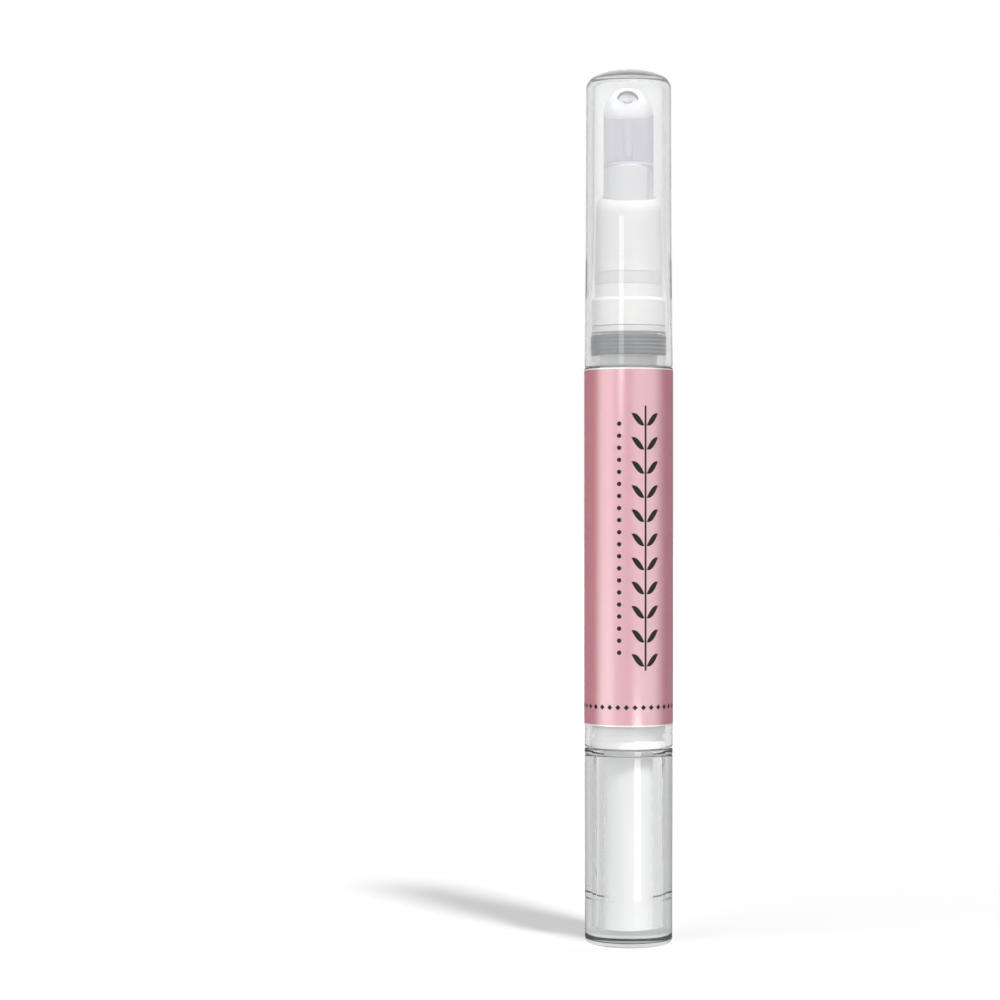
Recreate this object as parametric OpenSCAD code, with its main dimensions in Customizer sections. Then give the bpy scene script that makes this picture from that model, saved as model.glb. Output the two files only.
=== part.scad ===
// Twist-up nail oil pen with a slanted silicone pusher tip under a clear cap.
// It stands upright on its knob: the origin is the centre of the standing face, +Z points
// to the cap, and the slanted face of the tip looks towards -Y. Millimetres.
// Turning the knob turns the screw through the fixed nut, and the screw lifts the piston.

/* [Knob end] */
// Narrowing of the knob from its upper rim down to the seam
knob_draft = 0.08; // [0:0.01:0.3]
// Narrowing of the base plug from there down to its edge
base_draft = 0.02; // [0:0.01:0.2]
// Height of the base plug, up to the seam
base_plug_h = 7.1; // [6:0.1:9]
// Thickness of the solid floor of the base plug
base_floor_t = 2.4; // [1.6:0.1:4]
// Rounding of the standing edge
base_edge_r = 1; // [0.4:0.1:1.4]
// Height of the tapered ring by which the base plug enters the knob
base_spigot_h = 2.5; // [1.5:0.1:4]
// Thickness of that ring at its upper end
base_spigot_t = 0.25; // [0.2:0.05:0.5]
// Thickness of the knob's wall round the foot of that ring
knob_skirt_t = 1.37; // [1:0.01:1.8]
// Length of the knob, from the seam to its upper rim
knob_l = 21.5; // [18:0.1:26]
// Height of the loose ring between knob and barrel
spacer_h = 0.95; // [0.6:0.05:1.8]

/* [Barrel] */
// Outer radius of the clear barrel
barrel_r = 6.7; // [6.4:0.05:7.2]
// Length of the barrel, up to the shoulder that the cap meets
barrel_l = 57.35; // [54:0.05:66]
// Thickness of the wall round the oil chamber
chamber_wall = 1.8; // [1.4:0.05:2.4]
// Thickness of the wall round the drive parts
drive_wall = 1.1; // [0.8:0.05:1.3]
// Width of the shoulder that the cap meets
neck_step = 1.05; // [0.9:0.05:1.4]
// Thickness of the neck's wall
neck_wall = 1.25; // [1.05:0.05:1.6]
// Height of the shoulder between chamber and neck bore above the plug's foot
chamber_shoulder_h = 1.1; // [0.5:0.1:1.8]

/* [Label] */
// Thickness of the wrapped label
label_t = 0.1; // [0.06:0.01:0.2]
// Bare barrel left below the label
label_foot = 3.4; // [2:0.1:6]
// Bare barrel left above the label
label_head = 0.25; // [0.1:0.05:2]

/* [Cap] */
// Length of the cap
cap_l = 45.15; // [38:0.05:56]
// Thickness of the cap's wall at its mouth
cap_mouth_wall = 0.85; // [0.6:0.05:1.2]
// Height of the flared mouth
cap_flare_h = 16; // [11:0.5:24]
// Narrowing of the outside over that height
cap_flare_t = 0.17; // [0:0.01:0.4]
// Narrowing of the outside from there to the top
cap_draft = 0.08; // [0:0.01:0.3]
// Width by which the bore tapers in above the mouth
cap_step_t = 0.5; // [0.3:0.05:0.7]
// Height over which it does so
cap_step_h = 6; // [3:0.5:9]
// Narrowing of the bore from there to the top
cap_bore_draft = 0.15; // [0:0.05:0.25]
// Rounding of the cap's upper edge
cap_edge_r = 2; // [1.6:0.05:2.4]
// Rise of the domed end above its rounded edge
cap_rise = 1; // [0.7:0.05:1.2]
// Thickness of the domed end
cap_end_t = 1.65; // [1.3:0.05:1.9]

/* [Head] */
// Bare neck below the cap seal
seal_foot = 1.8; // [1.4:0.05:2.4]
// Length of the cap seal
seal_l = 2.9; // [2:0.05:3.6]
// Neck above the cap seal
seal_head = 0.45; // [0.3:0.05:1]
// Radial thickness of the cap seal
seal_t = 0.5; // [0.35:0.05:0.6]
// Thickness of the feed plug's flange
plug_flange_t = 0.95; // [0.6:0.05:1.4]
// Depth to which the feed plug reaches below the barrel's shoulder
plug_depth = 2.75; // [2:0.05:4]
// Height of the foot of the nose base, up to its sloping step
nose_foot_h = 3.85; // [3.2:0.05:4.6]
// Height of the narrower collar above the step
nose_collar_h = 2; // [1.6:0.1:2.6]
// Level of the spigot's top, as a share of the way from the collar to the cone's rim
spigot_share = 0.46; // [0.35:0.01:0.6]
// Height of the locking ring
lock_ring_h = 1.75; // [1:0.05:2.4]
// Thickness of the nose cone at its foot
cone_wall = 1.25; // [1:0.05:1.5]
// Narrowing of the nose cone up to its rim
cone_draft = 0.3; // [0:0.05:0.6]
// Slope of the nose cone's rim, in degrees
rim_slope = 13; // [0:1:24]
// Level of that rim, as a share of the way from the cone's foot to the tip's lower lip
rim_share = 0.5; // [0.35:0.01:0.65]
// Thickness of the nose cone at its rim
cone_rim_t = 0.35; // [0.25:0.05:0.8]
// Height of its rounded shoulder below the rim
shoulder_h = 1.7; // [0.8:0.1:2.4]

/* [Pusher tip] */
// Room between the tip and the crown of the cap's end
tip_room = 0.65; // [0.6:0.05:2]
// Height of the tip's slanted face, from its lower lip to its top
tip_face_h = 5.6; // [4.6:0.1:6.5]
// Radius of the hollow scoop in the tip's face
scoop_r = 9.5; // [8:0.1:14]
// Slope of the scoop at the lower lip, in degrees
lip_slope = 10; // [4:1:20]
// Width of the oval outlet
outlet_w = 3.3; // [2:0.1:3.8]
// Height of the oval outlet along the face
outlet_h = 2.6; // [1.6:0.1:2.8]
// Depth of the oval outlet
outlet_depth = 0.5; // [0.3:0.05:0.8]
// Drop of the outlet's centre below the top of the tip
outlet_drop = 1.7; // [1.4:0.05:2.2]
// Radius of the oil channel in the tip
channel_r = 0.55; // [0.3:0.05:0.7]
// Thickness of the tip's wall round its hard core
tip_wall = 0.55; // [0.4:0.05:0.9]
// Thickness of the tip between that core and the lower lip
core_cover = 6.2; // [5:0.05:7.5]
// Radius of the flat top of that core
core_flat_r = 0.3; // [0.3:0.05:2]
// Outer radius of the feed tube
feed_r = 0.8; // [0.7:0.05:1]
// Wall of the feed tube
feed_wall = 0.3; // [0.15:0.05:0.5]

/* [Drive] */
// Lead of the screw in one turn
lead = 2; // [1.6:0.1:2.4]
// Room round the screw in the drive sleeve
screw_room = 0.4; // [0.3:0.05:0.6]
// Depth of the screw thread
thread_h = 0.45; // [0.3:0.05:0.55]
// Depth of the screw's two flats below its crest
flat_cut = 0.6; // [0.5:0.05:0.75]
// Wall of the bearing bush
bush_wall = 1.73; // [1.4:0.01:1.8]
// Wall of the drive sleeve
sleeve_wall = 1.12; // [0.8:0.02:1.3]
// Thickness of the sleeve's holding flange
flange_t = 0.85; // [0.6:0.05:1.2]
// Wall of the sleeve's keyed head, outside the screw
head_wall = 1; // [0.8:0.05:1.1]
// Height of the bearing bush
bush_l = 3.5; // [2.6:0.1:4]
// Length of the ratchet ring
ratchet_l = 4.1; // [3:0.1:6]
// Number of ratchet teeth
tooth_count = 12; // [8:1:20]
// Depth of the ratchet teeth
tooth_depth = 0.4; // [0.25:0.05:0.45]
// Length of the drive nut
nut_l = 6.4; // [5:0.1:8]
// Length of the piston
piston_l = 7; // [6:0.1:8]
// Thickness of the piston's sealing rings
ring_d = 1; // [0.8:0.05:1.2]

/* [Hidden] */
$fn = 96;

// Clearances: pressed joints, running joints, the open groove by which the knob turns,
// the line under the cap, and the air left over a moving part at rest
press_gap = 0.05;
run_gap = 0.1;
turn_gap = 0.15;
cap_gap = 0.1;
glue_gap = 0.02;
rest_gap = 0.3;
// Overrun by which every cut passes the face that it opens
over = 1;
// Points on the quarter of a rounded edge
edge_steps = 8;

// Play of the cap round the neck and the nose, and over the nose's sloping step
cap_play = 0.2;
step_play = 0.35;
// Depth of the ratchet ring's skirt wall
skirt_w = 0.3;

// Radii of the knob end and the barrel, from the outside in
knob_r_top = barrel_r;
knob_r_seam = knob_r_top - knob_draft;
base_r = knob_r_seam - base_draft;
base_spigot_r = knob_r_seam - knob_skirt_t - press_gap;
drive_bore_r = barrel_r - drive_wall;
chamber_r = barrel_r - chamber_wall;
neck_r = barrel_r - neck_step;
neck_bore_r = neck_r - neck_wall;

// Radii of the cap, which starts from the neck that it goes over
cap_mouth_r = neck_r + cap_play;
cap_r_mouth = cap_mouth_r + cap_mouth_wall;
cap_r_waist = cap_r_mouth - cap_flare_t;
cap_r_top = cap_r_waist - cap_draft;
cap_bore_r = cap_mouth_r - cap_step_t;
cap_bore_r_top = cap_bore_r - cap_bore_draft;

// Radii of the head, which fits in the cap
seal_r = cap_mouth_r - run_gap;
head_r = neck_r - press_gap;
nose_r = cap_bore_r - cap_play;
cone_r_top = nose_r - cone_draft;
nose_spigot_r = nose_r - cone_wall;
tip_r = nose_spigot_r - 2 * press_gap;
core_r = tip_r - tip_wall;
core_edge_r = core_r - core_flat_r;
feed_bore_r = feed_r - feed_wall;

// Radii of the drive, which fits in the barrel and the knob
sleeve_r = drive_bore_r - press_gap - bush_wall - run_gap;
sleeve_bore_r = sleeve_r - sleeve_wall;
screw_r = sleeve_bore_r - screw_room;
flat_half = screw_r - flat_cut;
flange_r = drive_bore_r - press_gap - skirt_w - turn_gap;
head_key_r = screw_r + head_wall;
base_spigot_r_top = sleeve_r + press_gap + base_spigot_t;

// Levels of the knob end, upwards from the standing face
z_seam = base_plug_h;
z_knob = z_seam + press_gap;
z_knob_top = z_knob + knob_l;
z_spacer = z_knob_top + press_gap;
z_barrel = z_spacer + spacer_h + turn_gap;
z_shoulder = z_barrel + barrel_l;
neck_l = seal_foot + seal_l + seal_head;
z_neck_top = z_shoulder + neck_l;
z_cap = z_shoulder + cap_gap;
z_cap_top = z_cap + cap_l;

// Levels of the drive, upwards from the foot of the barrel
z_bush = z_barrel + press_gap;
z_bush_top = z_bush + bush_l;
z_flange = z_bush_top + run_gap;
z_key = z_flange + flange_t;
z_pawl = z_key + press_gap;
z_ratchet = z_bush_top + press_gap;
z_ratchet_top = z_ratchet + ratchet_l;
z_nut = z_ratchet_top + press_gap;
z_nut_top = z_nut + nut_l;
z_step = z_nut_top + press_gap;
z_piston = z_nut_top + rest_gap;
z_piston_top = z_piston + piston_l;
head_key_h = z_nut - turn_gap - z_key;
pawl_t = z_nut - rest_gap - z_pawl;

// Levels of the head's foot, upwards from the barrel's shoulder
z_plug = z_shoulder - plug_depth;
z_plug_flange = z_neck_top + press_gap;
z_nose = z_plug_flange + plug_flange_t + press_gap;
z_nose_step = z_nose + nose_foot_h;
nose_step_h = head_r - nose_r;
z_collar_top = z_nose_step + nose_step_h + nose_collar_h;
z_lock = z_collar_top + press_gap;
z_cone = z_lock + lock_ring_h + press_gap;

// Levels of the tip, downwards from the cap's end
z_tip_top = z_cap_top - cap_end_t - tip_room;
z_out = z_tip_top - outlet_drop;
z_lip = z_tip_top - tip_face_h;
z_rim = z_cone + rim_share * (z_lip - z_cone);
z_core_top = z_lip - core_cover;
z_spigot_top = z_collar_top + spigot_share * (z_rim - z_collar_top);
z_tip = z_spigot_top + press_gap;

// Small sizes of the pieces that carry them
key_w = 1.2;
key_h = 0.35;
key_l = 1.6;
boss_wall = 2.15;
boss_r = feed_r + boss_wall;
boss_h = 2.7;
plug_edge = 0.4;
funnel_rim = 0.95;
funnel_r = neck_bore_r - press_gap - plug_edge - funnel_rim;
funnel_h = 2.6;
groove_play = 0.1;
bush_groove_d = 0.4;
bush_groove_h = 0.9;
bush_groove_foot = 1.1;
seal_rib_d = 0.12;
seal_rib_share = 0.22;
nut_slit_w = 0.8;
nut_slit_h = 1.6;
pawl_hub_w = 0.35;
pawl_arm_w = 0.35;
pawl_tooth_h = 0.25;
pawl_arm_angle = 125;
pawl_root_angle = 16;
pawl_tooth_angle = 14;
tooth_face_share = 0.1;
piston_web_w = 0.3;
piston_lip_h = 0.8;
piston_nose_h = 0.5;
head_inset = 0.4;
head_undercut = 0.5;
head_ball_r = screw_r - head_inset;
head_ball_l = 1.8;
head_neck_r = head_ball_r - head_undercut;
head_neck_l = 1.3;
screw_foot_gap = 0.6;
thread_clear = 0.18;
rings_per_lead = 8;
sides = 16;

// Points on a round stretch about (cx, cz), between two angles
function arc(cx, cz, r, from, to, n = edge_steps) =
    [for (i = [0 : n]) let (a = from + (to - from) * i / n) [cx + r * cos(a), cz + r * sin(a)]];

// Points over a domed end, from the wall of radius w in to the axis: an edge of radius e,
// then a ball that meets it smoothly and rises by h above it
function domed(w, top, e, h, n = edge_steps) =
    let (
        flat_w = w - e,
        rise = e + h,
        ball_r = (flat_w * flat_w + rise * rise - e * e) / (2 * h),
        turn = 90 - asin(flat_w / (ball_r - e))
    )
    concat(arc(flat_w, top - rise, e, 0, turn, n), arc(0, top - ball_r, ball_r, turn, 90, n));

// Radius of the knuckle thread at an angle and a height, and grown for the nut
function thread_r(angle, z, grow = 0) =
    screw_r - thread_h / 2 + grow - thread_h / 2 * cos(360 * z / lead - angle);

// Radius of the screw, cut to its two flats
function screw_side(angle, z) =
    min(thread_r(angle, z), abs(cos(angle)) < 0.1 ? screw_r : flat_half / abs(cos(angle)));

module turned(points) {
    rotate_extrude() polygon(points);
}

module tube(z, h, outer, inner) {
    translate([0, 0, z]) difference() {
        cylinder(h = h, r = outer);
        translate([0, 0, -over]) cylinder(h = h + 2 * over, r = inner);
    }
}

// A ring with a round section, whose outside has the radius r
module round_ring(z, r, d) {
    translate([0, 0, z]) rotate_extrude() translate([r - d / 2, 0]) circle(d = d, $fn = 32);
}

// A closed skin over rings of points, from the lowest to the highest
module skin(rows, n) {
    last = len(rows) - 1;
    points = [for (row = rows) for (p = row) p];
    walls = [for (i = [0 : last - 1], j = [0 : n - 1]) let (
                a = i * n + j,
                b = i * n + (j + 1) % n
            ) each [[a, a + n, b], [b, a + n, b + n]]];
    foot = [[for (j = [0 : n - 1]) j]];
    head = [[for (j = [n - 1 : -1 : 0]) last * n + j]];
    polyhedron(points = points, faces = concat(walls, foot, head), convexity = 4);
}

// Clear cap: a shell with a flared mouth, a domed end, and a bore that tapers in
module cap_shell() {
    wall_top = cap_r_top - cap_bore_r_top;
    edge_in = cap_edge_r - wall_top;
    rise_in = cap_rise + wall_top - cap_end_t;
    z_step_in = z_nose_step + step_play;
    color("whitesmoke", 0.35) difference() {
        turned(concat(
            [[0, z_cap], [cap_r_mouth, z_cap], [cap_r_waist, z_cap + cap_flare_h]],
            domed(cap_r_top, z_cap_top, cap_edge_r, cap_rise)));
        turned(concat(
            [[0, z_cap - over], [cap_mouth_r, z_cap - over], [cap_mouth_r, z_step_in],
             [cap_bore_r, z_step_in + cap_step_h]],
            domed(cap_bore_r_top, z_cap_top - cap_end_t, edge_in, rise_in)));
    }
}

// Clear barrel: drive bore, oil chamber, shoulder, and the neck with its seal groove
module barrel_tube() {
    z_chamber_top = z_plug + chamber_shoulder_h;
    color("whitesmoke", 0.35) difference() {
        union() {
            translate([0, 0, z_barrel]) cylinder(h = barrel_l, r = barrel_r);
            translate([0, 0, z_shoulder]) cylinder(h = neck_l, r = neck_r);
        }
        translate([0, 0, z_barrel - over]) cylinder(h = z_step - z_barrel + over, r = drive_bore_r);
        translate([0, 0, z_step - over]) cylinder(h = z_chamber_top - z_step + over, r = chamber_r);
        translate([0, 0, z_chamber_top])
            cylinder(h = chamber_r - neck_bore_r, r1 = chamber_r, r2 = neck_bore_r);
        translate([0, 0, z_chamber_top])
            cylinder(h = z_neck_top - z_chamber_top + over, r = neck_bore_r);
        tube(z_shoulder + seal_foot, seal_l + press_gap, neck_r + over, seal_r - seal_t - press_gap);
    }
}

// Satin label wrapped round the barrel
module label_wrap() {
    z = z_barrel + label_foot;
    color("lightpink")
        tube(z, z_shoulder - label_head - z, barrel_r + glue_gap + label_t, barrel_r + glue_gap);
}

// Soft seal in the neck's groove, with two ribs that grip the cap
module cap_seal() {
    z = z_shoulder + seal_foot + press_gap / 2;
    rib = seal_rib_share * seal_l;
    color("dimgray") union() {
        tube(z, seal_l, seal_r - seal_rib_d, seal_r - seal_t);
        for (i = [0, 1])
            tube(z + rib + i * (seal_l - 3 * rib), rib, seal_r, seal_r - seal_t);
    }
}

// Feed plug: closes the chamber, guides the feed tube, and seats on the neck
module feed_plug() {
    plug_r = neck_bore_r - press_gap;
    z_ring = (z_shoulder + z_neck_top) / 2;
    z_boss = z_plug_flange + plug_flange_t;
    color("gainsboro") difference() {
        turned([[0, z_plug], [plug_r - plug_edge, z_plug], [plug_r, z_plug + plug_edge],
                [plug_r, z_plug_flange], [head_r, z_plug_flange], [head_r, z_boss],
                [boss_r, z_boss], [boss_r, z_boss + boss_h], [0, z_boss + boss_h]]);
        translate([0, 0, z_plug - over])
            cylinder(h = z_nose_step - z_plug + 2 * over, r = feed_r + press_gap);
        translate([0, 0, z_plug - press_gap])
            cylinder(h = funnel_h, r1 = funnel_r, r2 = feed_r + press_gap);
        tube(z_ring - ring_d / 2 - groove_play, ring_d + 2 * groove_play, plug_r + over,
             neck_bore_r - ring_d - press_gap);
    }
}

// Sealing ring between the feed plug and the neck
module plug_ring() {
    color("dimgray")
        round_ring((z_shoulder + z_neck_top) / 2, neck_bore_r - press_gap / 2, ring_d);
}

// Nose base: foot, sloping step, collar, spigot, and the round-topped core of the tip
module nose_base() {
    boss_play = boss_h + press_gap;
    color("white") difference() {
        turned(concat(
            [[0, z_nose], [head_r, z_nose], [head_r, z_nose_step],
             [nose_r, z_nose_step + nose_step_h], [nose_r, z_collar_top],
             [nose_spigot_r, z_collar_top], [nose_spigot_r, z_spigot_top],
             [core_r, z_spigot_top]],
            arc(core_r - core_edge_r, z_core_top - core_edge_r, core_edge_r, 0, 90),
            [[0, z_core_top]]));
        translate([0, 0, z_nose - over])
            cylinder(h = z_core_top - z_nose + 2 * over, r = feed_r + press_gap);
        translate([0, 0, z_nose - over]) cylinder(h = boss_play + over, r = boss_r + press_gap);
    }
}

// Locking ring between the collar and the nose cone
module lock_ring() {
    color("gainsboro") tube(z_lock, lock_ring_h, nose_r, nose_spigot_r + press_gap);
}

// Nose cone: a sleeve with a rounded shoulder and a sloping rim that is lowest at the front
module nose_cone() {
    cone_top = z_rim - z_cone + nose_r;
    wide = 4 * nose_r;
    reach = nose_r - tip_r - press_gap - cone_rim_t;
    shoulder_r = (reach * reach + shoulder_h * shoulder_h) / (2 * reach);
    color("white") intersection() {
        difference() {
            translate([0, 0, z_cone]) cylinder(h = cone_top, r1 = nose_r, r2 = cone_r_top);
            translate([0, 0, z_cone - over])
                cylinder(h = z_tip - z_cone + over, r = nose_spigot_r + press_gap);
            translate([0, 0, z_cone - over])
                cylinder(h = cone_top + 2 * over, r = tip_r + press_gap);
        }
        translate([0, 0, z_rim]) rotate([rim_slope, 0, 0]) turned(concat(
            [[0, -wide], [wide, -wide], [wide, -shoulder_h]],
            arc(nose_r - shoulder_r, -shoulder_h, shoulder_r, 0, asin(shoulder_h / shoulder_r)),
            [[0, 0]]));
    }
}

// Feed tube that carries the oil from the plug's funnel to the tip
module feed_tube() {
    z = z_plug + funnel_h;
    color("silver") tube(z, z_core_top - press_gap - z, feed_r, feed_bore_r);
}

// Silicone pusher tip: a round finger with a scooped face, an arched edge and an oval outlet
module pusher_tip() {
    // Centre of the scoop, seen from the side
    scoop_y = -tip_r - scoop_r * sin(lip_slope);
    scoop_z = z_lip + scoop_r * cos(lip_slope);
    arch_r = tip_r + run_gap;
    socket_r = core_r + press_gap;
    out_y = scoop_y + sqrt(scoop_r * scoop_r - (scoop_z - z_out) * (scoop_z - z_out));
    face_tilt = asin((scoop_z - z_out) / scoop_r);
    lean = atan(out_y / (z_out - z_core_top));
    color("lightgray") intersection() {
        difference() {
            translate([0, 0, z_tip]) cylinder(h = z_tip_top - z_tip, r = tip_r);
            turned(concat(
                [[0, z_tip - over], [socket_r, z_tip - over]],
                arc(socket_r - core_edge_r, z_core_top + press_gap - core_edge_r, core_edge_r, 0, 90),
                [[0, z_core_top + press_gap]]));
            translate([-2 * tip_r, scoop_y, scoop_z]) rotate([0, 90, 0])
                cylinder(h = 4 * tip_r, r = scoop_r);
            translate([0, 0, z_core_top - press_gap]) rotate([-lean, 0, 0])
                cylinder(h = z_out - z_core_top + outlet_depth, r = channel_r, $fn = 32);
            translate([0, out_y, z_out]) rotate([90 - face_tilt, 0, 0])
                translate([0, 0, -outlet_depth]) linear_extrude(2 * outlet_depth + press_gap)
                    polygon([for (a = [0 : 15 : 345]) [outlet_w / 2 * cos(a), outlet_h / 2 * sin(a)]]);
        }
        // Arched outline, seen from the front
        translate([0, tip_r + over, 0]) rotate([90, 0, 0]) linear_extrude(2 * tip_r + 2 * over)
            union() {
                translate([-arch_r, z_tip]) square([2 * arch_r, z_tip_top - z_tip - arch_r]);
                translate([0, z_tip_top - arch_r]) circle(r = arch_r);
            }
    }
}

// Oil between the piston and the feed plug
module oil_fill() {
    z = z_piston_top + press_gap;
    color("lightyellow", 0.5) translate([0, 0, z])
        cylinder(h = z_plug - press_gap - z, r = chamber_r - press_gap);
}

// Bearing bush: holds the drive sleeve in the foot of the barrel
module bearing_bush() {
    color("white") difference() {
        tube(z_bush, bush_l, drive_bore_r - press_gap, sleeve_r + run_gap);
        tube(z_bush + bush_groove_foot, bush_groove_h, drive_bore_r + over,
             drive_bore_r - press_gap - bush_groove_d);
    }
}

// Crest radius of the ratchet's teeth
function ratchet_crest() = drive_bore_r - press_gap - skirt_w - tooth_depth - run_gap;

// Point at a radius and an angle
function polar(r, a) = [r * cos(a), r * sin(a)];

// Ratchet ring: inner saw teeth that let the pawls pass one way, and a skirt down to the bush
module ratchet_ring() {
    outer = drive_bore_r - press_gap;
    crest = ratchet_crest();
    pitch_angle = 360 / tooth_count;
    color("white") difference() {
        translate([0, 0, z_ratchet]) cylinder(h = ratchet_l, r = outer);
        translate([0, 0, z_ratchet - over])
            cylinder(h = z_pawl - z_ratchet + over, r = outer - skirt_w);
        translate([0, 0, z_ratchet - over]) linear_extrude(ratchet_l + 2 * over)
            polygon([for (i = [0 : tooth_count - 1]) each [
                polar(crest, i * pitch_angle),
                polar(crest + tooth_depth, (i + tooth_face_share) * pitch_angle)
            ]]);
    }
}

// Drive nut: a fixed bush with the inner thread, slit from below
module drive_nut() {
    outer = drive_bore_r - press_gap;
    step = lead / rings_per_lead;
    first = floor((z_nut - over) / step);
    last = ceil((z_nut_top + over) / step);
    color("white") difference() {
        translate([0, 0, z_nut]) cylinder(h = nut_l, r = outer);
        skin([for (i = [first : last]) [for (j = [0 : sides - 1])
            let (a = 360 * j / sides, r = thread_r(a, i * step, thread_clear))
            [r * cos(a), r * sin(a), i * step]]], sides);
        for (a = [0, 90])
            rotate(a) translate([-outer - over, -nut_slit_w / 2, z_nut - over])
                cube([2 * (outer + over), nut_slit_w, nut_slit_h + over]);
    }
}

// Clear twist knob: thick wall, bore for the drive sleeve, two key slots
module twist_knob() {
    bore = sleeve_r + press_gap;
    color("whitesmoke", 0.35) difference() {
        translate([0, 0, z_knob]) cylinder(h = knob_l, r1 = knob_r_seam, r2 = knob_r_top);
        translate([0, 0, z_knob - over]) cylinder(h = knob_l + 2 * over, r = bore);
        turned([[0, z_knob - over], [base_spigot_r + press_gap, z_knob - over],
                [base_spigot_r + press_gap, z_knob],
                [base_spigot_r_top + press_gap, z_knob + base_spigot_h],
                [0, z_knob + base_spigot_h]]);
        for (side = [0, 180])
            rotate(side) translate([0, -key_w / 2 - press_gap, z_knob_top - key_l - press_gap])
                cube([sleeve_r + key_h + press_gap, key_w + 2 * press_gap, key_l + over]);
    }
}

// Clear base plug: the solid foot that the pen stands on
module base_plug() {
    bore = sleeve_r + press_gap;
    color("whitesmoke", 0.35) difference() {
        turned(concat(
            [[0, 0]],
            arc(base_r - base_edge_r, base_edge_r, base_edge_r, -90, 0),
            [[knob_r_seam, z_seam], [base_spigot_r, z_seam],
             [base_spigot_r_top, z_seam + base_spigot_h], [0, z_seam + base_spigot_h]]));
        translate([0, 0, base_floor_t]) cylinder(h = z_seam + base_spigot_h, r = bore);
    }
}

// Clear spacer ring in the groove between knob and barrel
module spacer_ring() {
    color("whitesmoke", 0.35) tube(z_spacer, spacer_h, knob_r_top, sleeve_r + press_gap);
}

// Drive sleeve: turns with the knob, is held by its flange, and drives the screw's flats
module drive_sleeve() {
    z = base_floor_t + press_gap;
    color("white") difference() {
        union() {
            translate([0, 0, z]) cylinder(h = z_flange - z, r = sleeve_r);
            translate([0, 0, z_flange]) cylinder(h = flange_t, r = flange_r);
            translate([0, 0, z_key]) intersection() {
                cylinder(h = head_key_h, r = head_key_r);
                translate([-head_key_r, -flat_half - key_w, 0])
                    cube([2 * head_key_r, 2 * (flat_half + key_w), head_key_h]);
            }
            for (side = [0, 180])
                rotate(side) translate([sleeve_bore_r + run_gap, -key_w / 2, z_knob_top - key_l])
                    cube([sleeve_r + key_h - sleeve_bore_r - run_gap, key_w, key_l]);
        }
        translate([0, 0, z - over]) cylinder(h = z_flange - z + over, r = sleeve_bore_r);
        translate([0, 0, z_flange - over]) intersection() {
            cylinder(h = flange_t + head_key_h + 2 * over, r = screw_r + thread_clear);
            translate([-flat_half - run_gap, -head_key_r, 0])
                cube([2 * (flat_half + run_gap), 2 * head_key_r, flange_t + head_key_h + 2 * over]);
        }
    }
}

// Click pawls: a hub keyed to the sleeve, with two springy arms that trail as the knob turns
module click_pawls() {
    tip_reach = ratchet_crest() - run_gap;
    arm_r = tip_reach - pawl_tooth_h;
    hub_r = head_key_r + press_gap + pawl_hub_w;
    key_play = flat_half + key_w + press_gap;
    color("white") translate([0, 0, z_pawl]) difference() {
        union() {
            cylinder(h = pawl_t, r = hub_r);
            for (side = [0, 180]) rotate(side) {
                sector(hub_r - pawl_hub_w / 2, arm_r, 0, pawl_root_angle, pawl_t);
                sector(arm_r - pawl_arm_w, arm_r, -pawl_arm_angle, pawl_root_angle, pawl_t);
                linear_extrude(pawl_t) polygon([
                    polar(arm_r - pawl_arm_w, -pawl_arm_angle),
                    polar(tip_reach, -pawl_arm_angle),
                    polar(arm_r, pawl_tooth_angle - pawl_arm_angle),
                    polar(arm_r - pawl_arm_w, pawl_tooth_angle - pawl_arm_angle)]);
            }
        }
        translate([0, 0, -over]) intersection() {
            cylinder(h = pawl_t + 2 * over, r = head_key_r + press_gap);
            translate([-2 * head_key_r, -key_play, 0])
                cube([4 * head_key_r, 2 * key_play, pawl_t + 2 * over]);
        }
    }
}

// A stretch of ring wall between two angles
module sector(inner, outer, from, to, h) {
    n = edge_steps * 2;
    step = (to - from) / n;
    linear_extrude(h) polygon(concat(
        [for (i = [0 : n]) polar(outer, from + i * step)],
        [for (i = [n : -1 : 0]) polar(inner, from + i * step)]));
}

// Piston: two lips, two ring grooves, and a socket that snaps over the screw's head
module piston() {
    lip_r = chamber_r - press_gap;
    web_r = lip_r - piston_web_w;
    groove_r = lip_r - ring_d - press_gap;
    color("gainsboro") difference() {
        union() {
            translate([0, 0, z_piston]) cylinder(h = piston_l, r = web_r);
            translate([0, 0, z_piston]) cylinder(h = piston_lip_h, r = lip_r);
            translate([0, 0, z_piston_top - piston_lip_h - piston_nose_h])
                cylinder(h = piston_lip_h, r = lip_r);
        }
        for (z = ring_levels())
            tube(z - ring_d / 2 - groove_play, ring_d + 2 * groove_play, lip_r + over, groove_r);
        translate([0, 0, z_piston - over])
            cylinder(h = head_neck_l + 2 * over, r = head_neck_r + run_gap);
        translate([0, 0, z_piston + head_neck_l - run_gap])
            cylinder(h = head_ball_l + 2 * run_gap, r = head_ball_r + run_gap);
    }
}

// Heights of the two sealing rings of the piston
function ring_levels() = [
    z_piston + piston_lip_h + ring_d,
    z_piston_top - piston_nose_h - piston_lip_h - ring_d];

// The two sealing rings of the piston
module piston_rings() {
    color("dimgray") for (z = ring_levels())
        round_ring(z, chamber_r - press_gap, ring_d);
}

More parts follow.
